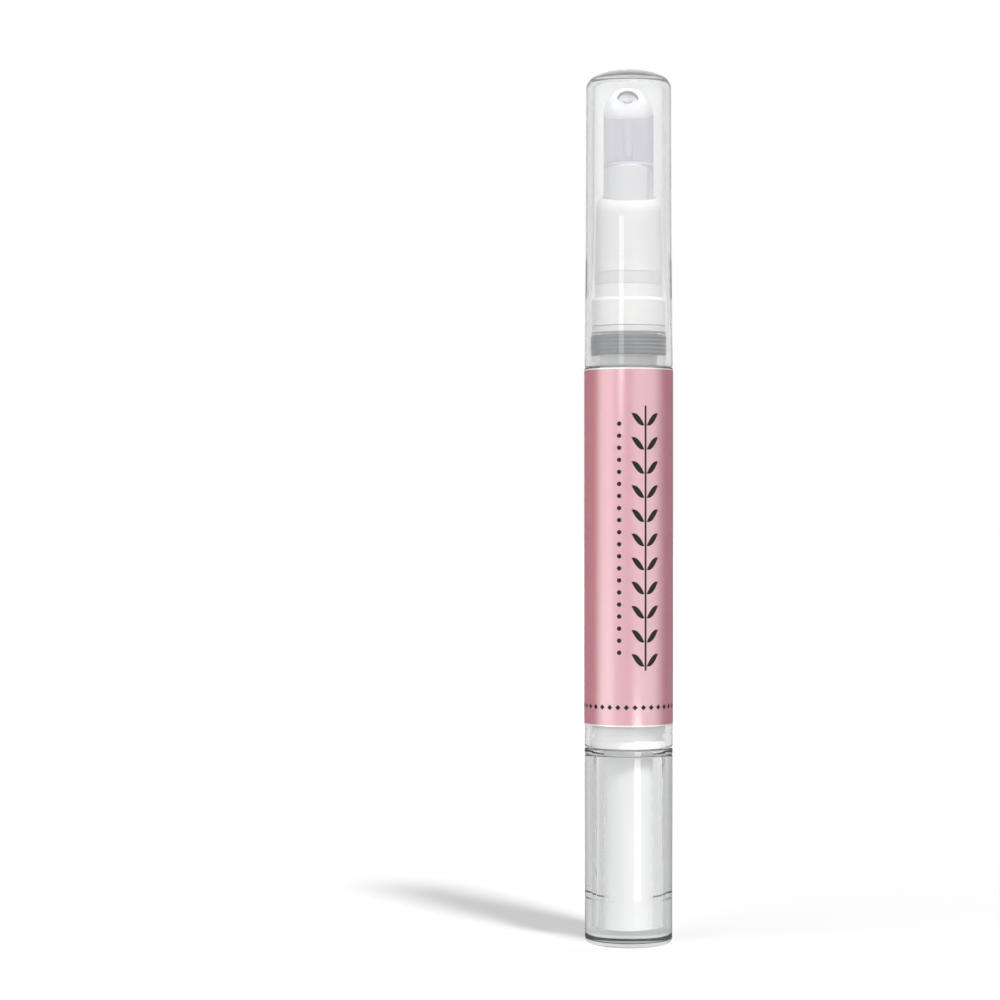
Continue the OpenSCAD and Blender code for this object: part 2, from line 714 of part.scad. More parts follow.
// Screw rod: knuckle thread with two flats, and the head that the piston snaps over
module screw_rod() {
    step = lead / rings_per_lead;
    z_foot = base_floor_t + screw_foot_gap;
    first = ceil(z_foot / step);
    last = floor(z_nut_top / step);
    z_neck = z_piston;
    z_end = last * step;
    color("white") union() {
        skin([for (i = [first : last]) [for (j = [0 : sides - 1])
            let (a = 360 * j / sides, r = screw_side(a, i * step))
            [r * cos(a), r * sin(a), i * step]]], sides);
        translate([0, 0, z_end - press_gap])
            cylinder(h = z_neck + head_neck_l - z_end + 2 * press_gap, r = head_neck_r);
        translate([0, 0, z_neck + head_neck_l]) cylinder(h = head_ball_l, r = head_ball_r);
    }
}

cap_shell();
barrel_tube();
label_wrap();
cap_seal();
feed_plug();
plug_ring();
nose_base();
lock_ring();
nose_cone();
feed_tube();
pusher_tip();
oil_fill();
bearing_bush();
ratchet_ring();
drive_nut();
twist_knob();
base_plug();
spacer_ring();
drive_sleeve();
click_pawls();
piston();
piston_rings();
screw_rod();
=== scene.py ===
"""Twist-up nail oil pen: its looks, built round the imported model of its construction.

Every piece is a surface worked out in metres, in the pen's own frame: the axis is Z, the pen
stands on its knob at z = 0, and the slanted face of the pusher tip looks towards -Y.
"""

import math

import bpy
import numpy as np
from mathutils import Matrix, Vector


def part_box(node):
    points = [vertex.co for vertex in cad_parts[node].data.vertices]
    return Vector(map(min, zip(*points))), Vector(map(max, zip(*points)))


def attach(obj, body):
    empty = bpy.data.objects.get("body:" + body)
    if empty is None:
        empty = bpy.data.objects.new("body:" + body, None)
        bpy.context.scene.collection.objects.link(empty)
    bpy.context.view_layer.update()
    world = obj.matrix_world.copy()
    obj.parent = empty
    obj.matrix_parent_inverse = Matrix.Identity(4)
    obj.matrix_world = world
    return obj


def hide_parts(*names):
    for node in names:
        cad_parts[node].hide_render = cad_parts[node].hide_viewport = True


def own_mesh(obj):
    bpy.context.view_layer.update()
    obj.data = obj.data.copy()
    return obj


bl_info = {
    "name": "Nail Oil Pen",
    "version": (1, 0, 0),
    "blender": (4, 5, 0),
    "location": "3D View > Sidebar > Oil Pen",
    "description": "Builds a twist-up nail oil pen with a clear cap and a clear knob",
    "category": "Add Mesh",
}

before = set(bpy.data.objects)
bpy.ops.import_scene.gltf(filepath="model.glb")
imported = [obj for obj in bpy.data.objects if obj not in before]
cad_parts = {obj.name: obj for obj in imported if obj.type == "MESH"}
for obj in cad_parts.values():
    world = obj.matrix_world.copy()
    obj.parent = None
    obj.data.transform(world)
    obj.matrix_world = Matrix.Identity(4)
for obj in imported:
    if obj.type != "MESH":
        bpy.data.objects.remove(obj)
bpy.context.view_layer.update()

MM = 0.001
AXIS = np.array([0.0, 0.0, 1.0])
BACK = math.pi / 2
PLAY = 0.05 * MM  # the usual gap between two parts


# Places read from the frame


def foot(node):
    """Height of a CAD node's lowest point."""
    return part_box(node)[0].z


def head(node):
    """Height of a CAD node's highest point."""
    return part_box(node)[1].z


def ends(node):
    """Foot, head and outer radius of a round CAD node."""
    return foot(node), head(node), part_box(node)[1].x


# Sizes and colours that a user can change


def size(name, text, default_mm):
    """A length, given here in millimetres and kept in metres."""
    return bpy.props.FloatProperty(
        name=name, description=text, default=default_mm * MM, min=0.0, precision=5,
        subtype="DISTANCE", unit="LENGTH")


def angle(name, text, default_deg):
    """An angle, given here in degrees and kept in radians."""
    return bpy.props.FloatProperty(
        name=name, description=text, default=math.radians(default_deg), subtype="ANGLE",
        unit="ROTATION")


def colour(name, text, default):
    """A linear colour."""
    return bpy.props.FloatVectorProperty(
        name=name, description=text, default=default, size=3, min=0.0, max=1.0, subtype="COLOR")


def share(name, text, default):
    """A number from 0 to 1."""
    return bpy.props.FloatProperty(
        name=name, description=text, default=default, min=0.0, max=1.0, subtype="FACTOR")


class OILPEN_PG_shells(bpy.types.PropertyGroup):
    """Sizes of the clear cap, barrel, knob and base plug."""

    soft_edge: size("Soft edge", "Rounding of the moulded edges", 0.12)
    lip_edge: size("Lip edge", "Rounding of the cap's mouth and the knob's rims", 0.22)
    cap_mouth_bore: size("Cap mouth bore", "Radius of the bore at the cap's mouth", 5.85)
    cap_bore: size("Cap bore", "Radius of the bore above its inner step", 5.35)
    cap_bore_top: size("Cap bore top", "Radius of the bore under the domed end", 5.2)
    cap_step_gap: size("Step gap", "Play between the nose's slope and the cap's step", 0.35)
    cap_step_height: size("Step height", "Height over which the cap's bore tapers in", 6)
    cap_waist: size("Cap waist", "Radius of the cap above its flared mouth", 6.53)
    cap_flare: size("Cap flare", "Height of the flared mouth", 16)
    cap_top: size("Cap top", "Radius of the cap under its rounded edge", 6.45)
    cap_edge: size("Cap edge", "Rounding of the cap's upper edge", 2)
    cap_rise: size("Cap rise", "Rise of the domed end above that edge", 1)
    cap_end: size("Cap end", "Thickness of the domed end", 1.65)
    neck: size("Neck", "Radius of the barrel's neck", 5.65)
    neck_bore: size("Neck bore", "Radius of the bore in the neck", 4.4)
    groove: size("Seal groove", "Radius of the floor of the seal's groove", 5.2)
    chamber: size("Chamber", "Radius of the oil chamber", 4.9)
    chamber_drop: size("Chamber drop", "Drop of the chamber's shoulder below the barrel's", 1.65)
    drive_bore: size("Drive bore", "Radius of the bore that holds the drive", 5.6)
    drive_gap: size("Drive gap", "Play between the nut and the bore's step", 0.05)
    knob_bore: size("Knob bore", "Radius of the bore for the drive sleeve", 3.77)
    knob_seam: size("Seam radius", "Radius of the knob at the seam", 6.62)
    seam_gap: size("Seam gap", "Gap at the seam above the base plug", 0.05)
    seam_groove: size("Seam groove", "Depth of the groove left at the seam", 0.12)
    base_edge: size("Base edge", "Rounding of the standing edge", 1)
    base_foot: size("Base foot", "Radius of the base plug at its edge", 6.6)
    base_floor: size("Base floor", "Thickness of the base plug's solid floor", 2.4)
    key_reach: size("Key slot reach", "Distance of the key slots' floor from the axis", 4.12)
    key_width: size("Key slot width", "Width of the key slots", 1.3)
    key_depth: size("Key slot depth", "Depth of the key slots below the rim", 1.65)
    gate: size("Gate mark", "Radius of the mark left by the moulding gate", 0.7)
    gate_depth: size("Gate depth", "Depth of that mark", 0.12)


class OILPEN_PG_label(bpy.types.PropertyGroup):
    """Sizes of the label and its printed ornament."""

    thickness: size("Thickness", "Thickness of the film", 0.1)
    lap: angle("Lap", "Angle over which the film laps over itself at the back", 24)
    lap_rise: size("Lap rise", "Rise of the outer layer there", 0.048)
    edge: size("Edge", "Rounding of the film's cut edges", 0.03)


class OILPEN_PG_head(bpy.types.PropertyGroup):
    """Sizes of the nose, the feed plug and the cap seal."""

    edge: size("Edge", "Rounding of the moulded edges", 0.15)
    base_step: size("Step", "Height of the nose's foot below its sloping step", 3.85)
    collar: size("Collar", "Radius of the collar above the step", 5.15)
    collar_height: size("Collar height", "Height of that collar", 2)
    spigot: size("Spigot", "Radius of the spigot that carries the cone", 3.9)
    fit: size("Ring fit", "How far the locking ring fills the gaps above and below it", 0.035)
    core: size("Core", "Radius of the tip's hard core", 3.25)
    core_edge: size("Core edge", "Rounding of the core's upper edge", 2.95)
    feed_bore: size("Feed bore", "Radius of the bore for the feed tube", 0.85)
    boss_bore: size("Boss bore", "Radius of the socket over the plug's boss", 3)
    boss: size("Boss", "Radius of the plug's boss", 2.95)
    boss_height: size("Boss height", "Height of the plug's boss", 2.7)
    plug: size("Plug", "Radius of the plug in the neck", 4.35)
    plug_ring_floor: size("Ring groove", "Radius of the floor of the plug's ring groove", 3.35)
    plug_flange: size("Plug flange", "Thickness of the plug's flange", 0.95)
    funnel: size("Funnel", "Radius of the funnel at the plug's foot", 3)
    funnel_height: size("Funnel height", "Height of that funnel", 2.6)
    cone_bore: size("Cone bore", "Radius of the cone's bore round the spigot", 3.95)
    cone_side: size("Cone side", "Radius of the nose cone below its shoulder", 4.95)
    cone_rim: size("Cone rim", "Thickness of the nose cone at its rim", 0.35)
    cone_slope: angle("Rim slope", "Slope of the nose cone's rim, lowest at the front", 13)
    shoulder: size("Shoulder", "Height of the cone's rounded shoulder", 1.7)
    seal_floor: size("Seal floor", "Inner radius of the cap seal", 5.25)
    seal_rib: size("Seal rib", "Depth of the seal's ribs", 0.07)


class OILPEN_PG_tip(bpy.types.PropertyGroup):
    """Sizes of the silicone pusher tip."""

    face: size("Face", "Height of the slanted face", 5.6)
    scoop: size("Scoop", "Radius of the hollow scoop in the face", 9.5)
    lip_slope: angle("Lip slope", "Slope of the scoop at the lower lip", 10)
    arch_play: size("Arch", "Radius of the tip's arched outline past its own radius", 0.1)
    edge: size("Edge", "Rounding of the tip's edges", 0.16)
    outlet_width: size("Outlet width", "Width of the oval outlet", 3.3)
    outlet_height: size("Outlet height", "Height of the outlet along the face", 2.6)
    outlet_depth: size("Outlet depth", "Depth of the outlet", 0.5)
    outlet_drop: size("Outlet drop", "Drop of the outlet below the tip's top", 1.7)
    channel: size("Channel", "Radius of the oil channel", 0.55)
    socket_gap: size("Socket gap", "Play between the tip and its hard core", 0.05)


class OILPEN_PG_finish(bpy.types.PropertyGroup):
    """Colours and finishes."""

    clear: colour("Clear plastic", "Tint of the clear plastic's surface", (0.99, 0.99, 0.99))
    deep: colour("Clear plastic, deep", "Tint that the clear plastic gains with depth",
                 (0.80, 0.81, 0.815))
    milk: share("Milkiness", "Share of light that the clear cap and barrel scatter", 0.06)
    shade: colour("Shade", "Light that a face of clear plastic lets through to what it covers",
                  (0.985, 0.985, 0.985))
    film: colour("Film", "Colour of the film under its sheen", (0.60, 0.20, 0.245))
    ink: colour("Ink", "Colour of the printed ornament", (0.012, 0.010, 0.011))
    white: colour("White plastic", "Colour of the moulded white parts", (0.745, 0.745, 0.735))
    # Painted light: the sleeve is the same white plastic as the nose, given a lighter colour to
    # make up for light lost in the knob's thick walls.
    sleeve: colour("Sleeve", "Colour of the white sleeve inside the knob", (0.84, 0.84, 0.835))
    natural: colour("Natural plastic", "Colour of uncoloured moulded parts", (0.66, 0.67, 0.66))
    seal: colour("Seal", "Colour of the soft seals", (0.115, 0.12, 0.125))
    silicone: colour("Silicone", "Tint that the pusher tip gains with depth", (0.74, 0.73, 0.79))
    steel: colour("Steel", "Colour of the feed tube", (0.62, 0.62, 0.61))
    oil: colour("Oil", "Colour of the oil", (0.96, 0.89, 0.66))


# Surfaces


def rounded(corners, steps=6):
    """Outline through corners given as (radius, height, rounding).

    Each corner becomes an arc that touches both its sides: it starts and ends at
    rounding / tan(half the corner's angle) from the corner, at most halfway along a side,
    and its centre lies on the line that halves the corner. Rounding 0 keeps a point.
    """
    table = np.array(corners, float)
    point, rounding = table[:, :2], table[:, 2]
    before, after = np.roll(point, 1, 0) - point, np.roll(point, -1, 0) - point
    long_before, long_after = np.linalg.norm(before, axis=1), np.linalg.norm(after, axis=1)
    before, after = before / long_before[:, None], after / long_after[:, None]
    half = np.arccos(np.clip((before * after).sum(1), -1, 1)) / 2
    room = np.minimum(long_before, long_after) / 2
    reach = np.minimum(rounding / np.tan(half), room)
    middle = before + after
    middle /= np.maximum(np.linalg.norm(middle, axis=1), 1e-12)[:, None]
    centre = point + middle * (reach / np.cos(half))[:, None]
    start = point + before * reach[:, None] - centre
    end = point + after * reach[:, None] - centre
    turn = (math.pi - 2 * half)[:, None]
    t = np.linspace(0, 1, steps + 1)[None, :]
    weights = np.sin((1 - t) * turn), np.sin(t * turn)
    arcs = weights[0][..., None] * start[:, None] + weights[1][..., None] * end[:, None]
    arcs = (centre[:, None] + arcs / np.sin(turn)[..., None]).reshape(-1, 2)
    apart = np.linalg.norm(np.diff(arcs, axis=0), axis=1) > 1e-8
    return arcs[np.r_[True, apart]]


def domed(wall, top, edge, rise, steps=14):
    """Points of a domed end, from the wall in to the axis.

    An arc of radius edge turns inwards until it meets, with no kink, the ball that rises by
    rise above the arc's top and is centred on the axis.
    """
    flat, lift = wall - edge, edge + rise
    ball = (flat**2 + lift**2 - edge**2) / (2 * rise)
    turn = math.pi / 2 - math.asin(flat / (ball - edge))
    near = np.linspace(0, turn, steps)
    far = np.linspace(turn, math.pi / 2, steps + 1)[1:]
    corner = np.stack([flat + edge * np.cos(near), top - lift + edge * np.sin(near)], 1)
    cap = np.stack([ball * np.cos(far), top - ball + ball * np.sin(far)], 1)
    cap[-1, 0] = 0
    return np.concatenate([corner, cap])


def kept(points):
    """Outline points as corners that aren't rounded."""
    points = np.asarray(points, float)
    return [(r, z, 0.0) for r, z in points]


def turned(outline, columns=160):
    """Grid of an outline turned round the axis: (r cos a, r sin a, z) for a point and angle a."""
    a = np.arange(columns) * 2 * math.pi / columns
    r, z = outline[:, 0, None], outline[:, 1, None]
    return np.stack([r * np.cos(a), r * np.sin(a), z + 0 * a], -1)


def ring(low, top, bore, wall, inner, outer, steps=6, columns=160):
    """Grid of a plain ring, its edges rounded by inner at the bore and by outer outside."""
    return turned(rounded([(bore, low, inner), (wall, low, outer),
                           (wall, top, outer), (bore, top, inner)], steps), columns)


def skin(name, grid, wrap=False):
    """A closed mesh over rows of points that run anticlockwise round, as seen from +Z.

    Rows whose points all lie on the axis become one pole, at the start and at the end.
    Without poles the last row joins the first. A normal is the cross product of the
    differences to the neighbours along the row and across the rows, so that the longer
    side counts more and flat stretches stay flat up to their rounded edges.
    wrap adds a UV map: round the row from the back seam, and up the rows by height.
    """
    poles = np.abs(grid[[0, -1], :, :2]).max() < 1e-9
    body = grid[1:-1] if poles else grid
    rows, columns = body.shape[:2]
    if poles:
        above, below = grid[2:], grid[:-2]
    else:
        above, below = np.roll(body, -1, 0), np.roll(body, 1, 0)
    along = np.roll(body, -1, 1) - np.roll(body, 1, 1)
    normals = np.cross(along, above - below).reshape(-1, 3)
    points = body.reshape(-1, 3)
    lower = np.arange(rows - 1 if poles else rows)[:, None] * columns
    upper = (lower + columns) % (rows * columns)
    here = np.arange(columns)[None, :]
    there = (here + 1) % columns
    quads = np.stack([lower + here, lower + there, upper + there, upper + here], -1).reshape(-1, 4)
    faces = quads.tolist()
    if poles:
        points = np.concatenate([points, grid[[0, -1], 0]])
        normals = np.concatenate([normals, [-AXIS, AXIS]])
        first, last, rim = rows * columns, rows * columns + 1, (rows - 1) * columns
        here, there = here[0], there[0]
        faces += np.stack([first + 0 * here, there, here], 1).tolist()
        faces += np.stack([last + 0 * here, rim + here, rim + there], 1).tolist()
    normals /= np.maximum(np.linalg.norm(normals, axis=1), 1e-30)[:, None]
    mesh = bpy.data.meshes.new(name)
    mesh.from_pydata(points.tolist(), [], faces)
    mesh.shade_smooth()
    mesh.normals_split_custom_set_from_vertices(normals.tolist())
    if wrap:
        column = np.arange(columns)[None, :, None] + np.array([0, 1, 1, 0])
        u = np.broadcast_to(column / columns, (rows, columns, 4))
        low, high = points[:, 2].min(), points[:, 2].max()
        v = (points[quads.reshape(-1), 2] - low) / (high - low)
        layer = mesh.uv_layers.new(name="Wrap")
        layer.data.foreach_set("uv", np.stack([u.reshape(-1), v], 1).ravel())
    mesh.validate()
    piece = bpy.data.objects.new(name, mesh)
    bpy.context.scene.collection.objects.link(piece)
    return piece


def settled(points, depth, steps=4, tiny=1e-8):
    """Points moved onto the surface where depth is 0, by a few steps down its own slope."""
    for _ in range(steps):
        d = depth(points)
        slope = np.stack([(depth(points + tiny * axis) - d) / tiny for axis in np.eye(3)], -1)
        points = points - (d / (slope**2).sum(-1))[..., None] * slope
    return points


def blended_max(a, b, width):
    """The larger of two depths, with the corner between them rounded over width."""
    near = np.maximum(width - np.abs(a - b), 0) / width
    return np.maximum(a, b) + near**2 * width / 4


def fitted(piece, body, slot, material, *nodes):
    """Sets a finished piece into the frame: what it rides on, stands for and is made of."""
    piece.data.materials.append(material)
    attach(piece, body)
    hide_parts(*nodes)


def repaint(material, *nodes):
    """Gives carried CAD nodes a material."""
    for node in nodes:
        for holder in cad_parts[node].material_slots:
            holder.material = material


# Shader nodes


def sum_step(operation, *fixed):
    """A method that puts a value and what it meets through one Math node."""
    return lambda value, *others: value.math(operation, *others, *fixed)


class Value:
    """A socket's value in a sum: each operator adds its Math node."""

    def __init__(self, tree, socket):
        self.tree, self.socket = tree, socket

    def math(self, operation, *others):
        node = self.tree.add("ShaderNodeMath", {"operation": operation},
                             dict(enumerate([self, *others])))
        return Value(self.tree, node.outputs[0])

    __add__ = __radd__ = sum_step("ADD")
    __sub__ = sum_step("SUBTRACT")
    __mul__ = __rmul__ = sum_step("MULTIPLY")
    __truediv__ = sum_step("DIVIDE")
    __mod__ = sum_step("WRAP", 0.0)
    __pow__ = sum_step("POWER")
    __abs__ = sum_step("ABSOLUTE")
    least = sum_step("MINIMUM")
    most = sum_step("MAXIMUM")

    def __rsub__(self, other):
        return (self * -1) + other

    def ramp(self, low, high, start=0.0, end=1.0):
        """Smooth step: start below low, end above high."""
        node = self.tree.add(
            "ShaderNodeMapRange", {"interpolation_type": "SMOOTHSTEP"},
            {"Value": self, "From Min": low, "From Max": high, "To Min": start, "To Max": end})
        return Value(self.tree, node.outputs["Result"])


class Tree:
    """The nodes of one material or world."""

    def __init__(self, owner, kind="Material"):
        owner.use_nodes = True
        self.owner, self.nodes, self.links = owner, owner.node_tree.nodes, owner.node_tree.links
        self.nodes.clear()
        self.end = self.add("ShaderNodeOutput" + kind)

    def add(self, kind, settings=None, sockets=None):
        """Adds a node of a type, with its settings first and then its sockets' values or links."""
        node = self.nodes.new(kind)
        for name, value in (settings or {}).items():
            setattr(node, name, value)
        for name, value in (sockets or {}).items():
            socket = node.inputs[name]
            source = getattr(value, "socket", value)
            if isinstance(source, bpy.types.NodeSocket):
                self.links.new(source, socket)
            else:
                socket.default_value = source
        return node

    def place(self, output="Object"):
        """Texture coordinates of the piece itself."""
        return self.add("ShaderNodeTexCoord").outputs[output]

    def axes(self, vector):
        """The three parts of a vector, as values."""
        node = self.add("ShaderNodeSeparateXYZ", None, {"Vector": vector})
        return [Value(self, socket) for socket in node.outputs]

    def stretched(self, vector, scale):
        """A vector with each part scaled."""
        node = self.add("ShaderNodeMapping", {"vector_type": "POINT"},
                        {"Vector": vector, "Scale": scale})
        return node.outputs["Vector"]

    def noise(self, vector, scale, detail=2.0):
        """Soft noise from 0 to 1, with scale in waves per metre."""
        node = self.add("ShaderNodeTexNoise", None,
                        {"Vector": vector, "Scale": scale, "Detail": detail})
        return Value(self, node.outputs[0])

    def mixed(self, factor, a, b):
        """Colour a where factor is 0 and b where it is 1."""
        node = self.add("ShaderNodeMix", {"data_type": "RGBA"},
                        {"Factor": factor, 6: rgba(a), 7: rgba(b)})
        return node.outputs[2]

    def varied(self, factor, tint, part):
        """A tint where factor is 0, and part of its strength where it is 1."""
        return self.mixed(factor, tint, tuple(part * c for c in tint))

    def principled(self, sockets):
        """The shader that every finish of the pen is made with."""
        return self.add("ShaderNodeBsdfPrincipled", None, sockets)

    def bump(self, height, distance, strength=1.0):
        """Normal of a relief whose height runs from 0 to 1 over distance."""
        node = self.add("ShaderNodeBump", None,
                        {"Height": height, "Distance": distance, "Strength": strength})
        return node.outputs["Normal"]

    def inside(self, tint, density):
        """Fills the piece with a plain tint that takes its share of light by the metre."""
        fill = self.add("ShaderNodeVolumeAbsorption", None,
                        {"Color": rgba(tint), "Density": density})
        self.links.new(fill.outputs[0], self.end.inputs["Volume"])

    def lit_through(self, shader, shade):
        """Ends the tree in a shader that a lamp's light passes straight through."""
        straight = self.add("ShaderNodeBsdfTransparent", None, {"Color": rgba(shade)})
        path = self.add("ShaderNodeLightPath")
        return self.surface(self.add("ShaderNodeMixShader", None, {
            0: path.outputs["Is Shadow Ray"], 1: shader.outputs[0], 2: straight.outputs[0]}))

    def surface(self, shader):
        """Ends the tree in a shader and returns the material or world."""
        self.links.new(shader.outputs[0], self.end.inputs["Surface"])
        return self.owner


def rgba(value):
    """A colour of three numbers with full alpha, and anything else as it is."""
    if hasattr(value, "__len__") and len(value) == 3:
        return (*value, 1.0)
    return value


def new_tree(name):
    """Tree of a new material, and the piece's own coordinates in it."""
    tree = Tree(bpy.data.materials.new(name))
    return tree, tree.place()


def clear_plastic(name, finish, depth, milk, wavy=True):
    """Clear plastic that darkens by depth, where milk is the share of light that it scatters.
    Lamps shine through it. A wavy piece has a slight haze and the faint waves of its flow."""
    tree, place = new_tree(name)
    flow = tree.noise(tree.stretched(place, (1.0, 1.0, 0.15)), 260.0, 1.0)
    look = {
        "Base Color": tree.varied(flow, finish.clear, 0.99),
        "Roughness": 0.0,
        "IOR": 1.49,
        "Transmission Weight": 1 - milk,
    }
    if wavy:
        look["Roughness"] = tree.noise(place, 5200.0, 3.0) * 0.015
        look["Normal"] = tree.bump(flow, 0.003 * MM)
    tree.inside(finish.deep, depth)
    return tree.lit_through(tree.principled(look), finish.shade)


def moulded_plastic(name, tint, gloss, glow, depth):
    """Moulded plastic with a fine grain, and light that sinks in by depth."""
    tree, place = new_tree(name)
    cloud = tree.noise(place, 260.0, 3.0)
    grain = tree.noise(place, 9000.0)
    return tree.surface(tree.principled({
        "Base Color": tree.varied(cloud, tint, 0.955),
        "Roughness": cloud * 0.08 + gloss + grain * 0.06,
        "IOR": 1.5,
        "Subsurface Weight": glow,
        "Subsurface Radius": (1.0, 0.95, 0.9),
        "Subsurface Scale": depth,
        "Normal": tree.bump(grain, 0.012 * MM, 0.5),
    }))


def soft_rubber(name, tint):
    """Matt rubber with a fine speckle."""
    tree, place = new_tree(name)
    speck = tree.noise(place, 7000.0, 4.0)
    cloud = tree.noise(place, 500.0)
    return tree.surface(tree.principled({
        "Base Color": tree.varied(cloud, tint, 1.35),
        "Roughness": speck * 0.15 + 0.38,
        "IOR": 1.45,
        "Normal": tree.bump(speck, 0.02 * MM, 0.6),
    }))


def silicone(name, finish, outlet, out_of_face, width, depth, scoop):
    """Milky silicone that shows its hard core and darkens by depth.

    The hollow face is milkier than the rest, and shade is painted into the outlet, darkest down
    its wall.
    outlet is the outlet's middle, and scoop the (y, z) of the hollow's axis and its radius.
    """
    tree, place = new_tree(name)
    cloud = tree.noise(place, 380.0, 3.0)
    skin_grain = tree.noise(place, 6000.0, 3.0)
    away = tree.add("ShaderNodeVectorMath", {"operation": "SUBTRACT"}, {0: place, 1: outlet})
    length = tree.add("ShaderNodeVectorMath", {"operation": "LENGTH"}, {0: away.outputs[0]})
    height = tree.add("ShaderNodeVectorMath", {"operation": "DOT_PRODUCT"},
                      {0: away.outputs[0], 1: tuple(out_of_face)})
    # Painted shade in the outlet: the colour goes dark grey down its wall and darkens less over
    # its floor.
    by_outlet = Value(tree, length.outputs["Value"]).ramp(1.15 * width, 1.3 * width, 1.0, 0.0)
    level = Value(tree, height.outputs["Value"])
    below_lip = level.ramp(-0.3 * depth, -0.05 * depth, 1.0, 0.0)
    above_floor = level.ramp(-1.05 * depth, -0.85 * depth, 0.45, 1.0)
    inside = by_outlet * below_lip * above_floor
    _, y, z = tree.axes(place)
    axis_y, axis_z, scoop_radius = scoop
    behind_face = ((y - axis_y) ** 2.0 + (z - axis_z) ** 2.0) ** 0.5 - scoop_radius
    face = behind_face.ramp(0.04 * MM, 0.14 * MM, 0.2, 0.0)
    tint = tree.mixed(cloud, (0.94, 0.94, 0.945), (0.91, 0.91, 0.915))
    tint_with_painted_shade = tree.mixed(inside, tint, (0.28, 0.28, 0.30))
    bump = tree.bump(skin_grain, 0.015 * MM, 0.5)
    clear, milky = [tree.principled({
        "Base Color": tint_with_painted_shade,
        "Roughness": skin_grain * 0.06 + rough,
        "IOR": 1.41,
        "Transmission Weight": through,
        "Normal": bump,
    }) for rough, through in ((0.17, 0.74), (0.28, 0.1))]
    tree.inside(finish.silicone, 300.0)
    soft = tree.add("ShaderNodeMixShader", None, {
        0: (face + inside).least(0.9), 1: clear.outputs[0], 2: milky.outputs[0]})
    return tree.lit_through(soft, (0.96, 0.96, 0.965))


def drawn_steel(name, finish):
    """Drawn steel, with fine lines along the axis."""
    tree, place = new_tree(name)
    lines = tree.noise(tree.stretched(place, (1.0, 1.0, 0.02)), 14000.0)
    return tree.surface(tree.principled({
        "Base Color": tree.varied(lines, finish.steel, 0.8),
        "Metallic": 1.0,
        "Roughness": lines * 0.18 + 0.2,
        "Normal": tree.bump(lines, 0.008 * MM, 0.6),
    }))


def nail_oil(name, finish):
    """Clear, faintly yellow oil with slow streaks."""
    tree, place = new_tree(name)
    streak = tree.noise(tree.stretched(place, (1.0, 1.0, 0.3)), 240.0)
    oil = tree.principled({
        "Base Color": tree.varied(streak, finish.oil, 0.96),
        "Roughness": streak * 0.02,
        "IOR": 1.47,
        "Transmission Weight": 1.0,
    })
    return tree.lit_through(oil, (0.95, 0.92, 0.8))


def satin_film(name, finish, around, height):
    """Pearly pink film with a printed ornament; around and height are the film's real size."""
    tree, place = new_tree(name)
    u, v, _ = tree.axes(tree.place("UV"))
    across = (u - 0.5) * (around / MM)
    up = v * (height / MM)
    ink = printed(across, up)
    flake = tree.noise(place, 16000.0)
    cloud = tree.noise(tree.stretched(place, (1.0, 1.0, 0.25)), 180.0)
    film = tree.varied(cloud, finish.film, 0.95)
    # A pale band is painted along the film's top and bottom edges: a painted highlight for light
    # that the cut edge catches.
    half, lit_edge_width, soft = height / MM / 2, 0.2, 0.02
    painted_edge_highlight = abs(up - half).ramp(half - lit_edge_width - soft, half - lit_edge_width + soft)
    film = tree.mixed(painted_edge_highlight, film, (0.9, 0.9, 0.89))
    return tree.surface(tree.principled({
        "Base Color": tree.mixed(ink, film, finish.ink),
        "Roughness": flake * 0.06 + ink * 0.1 + 0.24,
        "IOR": 1.35,
        "Coat Weight": 1 - ink,
        "Coat Roughness": 0.22,
        "Coat IOR": 4.0,
        "Normal": tree.bump(flake * 0.15 + ink, 0.01 * MM, 0.6),
    }))


def printed(across, up):
    """1 where ink lies: a stem with paired leaves, a row of dots beside it and a ring of
    lozenges near the foot. Places are in millimetres from the front line and from the foot."""
    soft = 0.02
    stem_x, stem_low, stem_half, pitch, pairs = 2.3, 8.4, 0.155, 3.6, 11
    leaf_foot, leaf_long, leaf_wide, leaf_low, leaf_slope = 0.18, 2.0, 1.25, 0.5, 0.9
    dot_x, dot_pitch, dot_radius = -1.75, 1.8, 0.34
    ring_height, ring_pitch, lozenge = 2.9, 1.3, 0.42
    stem_high = stem_low + pitch * pairs

    def under(distance, edge, blur=soft):
        """1 where a distance is less than an edge."""
        return distance.ramp(edge - blur, edge + blur, 1.0, 0.0)

    def stretch(low, high):
        """1 between two heights."""
        return up.ramp(low, low + soft) * up.ramp(high - soft, high, 1.0, 0.0)

    side = abs(across - stem_x)
    bend = (up - stem_low) % pitch - side * leaf_slope - leaf_low
    reach = (side - leaf_foot) / leaf_long
    width = (reach * (1 - reach)).most(0.0) * (2 * leaf_wide)
    leaf = under(abs(bend) - width, 0.0) * side.ramp(leaf_foot, leaf_foot + soft)
    sprig = under(side, stem_half, 0.015).most(leaf) * stretch(stem_low, stem_high)
    dot_low, dot_high = stem_low + pitch / 2, stem_high - pitch / 2
    dot_up = (up - dot_low) % dot_pitch - dot_pitch / 2
    dot = ((across - dot_x) ** 2.0 + dot_up ** 2.0) ** 0.5
    dots = under(dot, dot_radius) * stretch(dot_low, dot_high)
    ring_off = abs(up - ring_height) + abs(across % ring_pitch - ring_pitch / 2)
    return sprig.most(dots).most(under(ring_off, lozenge, 0.03))


# Operators


class Piece:
    """What the pen's operators share: the sizes of the scene and an undo step."""

    bl_options = {"REGISTER", "UNDO"}

    def execute(self, context):
        self.build(context.scene.oilpen_shells, context.scene)
        return {"FINISHED"}


